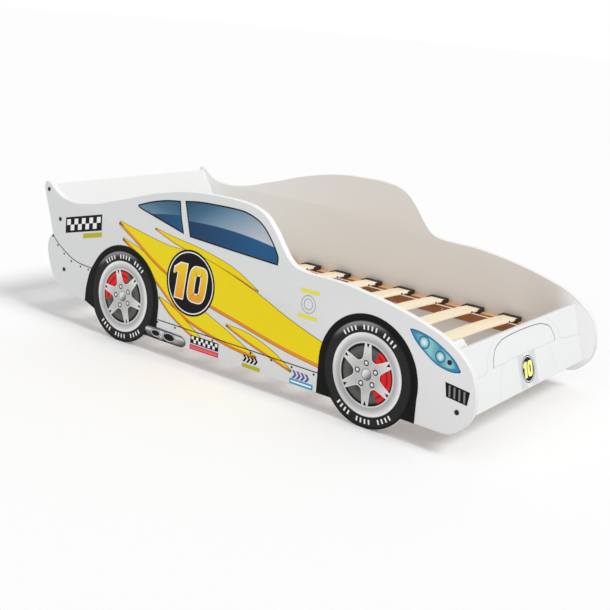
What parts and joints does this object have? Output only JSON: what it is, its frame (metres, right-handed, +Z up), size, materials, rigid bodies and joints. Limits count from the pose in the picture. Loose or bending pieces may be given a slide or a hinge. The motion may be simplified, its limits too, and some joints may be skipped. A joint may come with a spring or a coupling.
{
  "type": "car bed for children",
  "caption": "Low child's bed with two car-shaped side boards, leaning front and spoiler boards and a sprung slat base on side rails.",
  "frame": {"origin": "centre of the overall bounding box on the floor, under the middle of the bed", "axes": "+Z up, +X towards the nose of the car, +Y towards the bed's left side"},
  "size_m": [1.9275, 0.853, 0.6002],
  "materials": {
    "painted_board": "white satin paint",
    "pine": "satin",
    "slat_wood": "satin",
    "holder_plastic": "matte",
    "webbing": "woven",
    "black_plastic": "matte",
    "zinc_steel": "zinc plated"
  },
  "bodies": {
    "root": {"barrel_nuts": "zinc_steel", "bolt_caps": "black_plastic", "connecting_bolts": "zinc_steel", "corner_block": "painted_board", "front_board": "painted_board", "rail_screws": "zinc_steel", "rear_board": "painted_board", "side_panel_left": "painted_board", "side_panel_right": "painted_board", "slat_01": "slat_wood", "slat_02": "slat_wood", "slat_03": "slat_wood", "slat_04": "slat_wood", "slat_05": "slat_wood", "slat_06": "slat_wood", "slat_07": "slat_wood", "slat_08": "slat_wood", "slat_09": "slat_wood", "slat_10": "slat_wood", "slat_11": "slat_wood", "slat_holder_left_01": "holder_plastic", "slat_holder_left_02": "holder_plastic", "slat_holder_left_03": "holder_plastic", "slat_holder_left_04": "holder_plastic", "slat_holder_left_05": "holder_plastic", "slat_holder_left_06": "holder_plastic", "slat_holder_left_07": "holder_plastic", "slat_holder_left_08": "holder_plastic", "slat_holder_left_09": "holder_plastic", "slat_holder_left_10": "holder_plastic", "slat_holder_left_11": "holder_plastic", "slat_holder_right_01": "holder_plastic", "slat_holder_right_02": "holder_plastic", "slat_holder_right_03": "holder_plastic", "slat_holder_right_04": "holder_plastic", "slat_holder_right_05": "holder_plastic", "slat_holder_right_06": "holder_plastic", "slat_holder_right_07": "holder_plastic", "slat_holder_right_08": "holder_plastic", "slat_holder_right_09": "holder_plastic", "slat_holder_right_10": "holder_plastic", "slat_holder_right_11": "holder_plastic", "slat_rail_left": "pine", "slat_rail_right": "pine", "slat_tape_left": "webbing", "slat_tape_right": "webbing", "spoiler_board": "painted_board", "tape_studs": "black_plastic"}
  },
  "joints": []
}
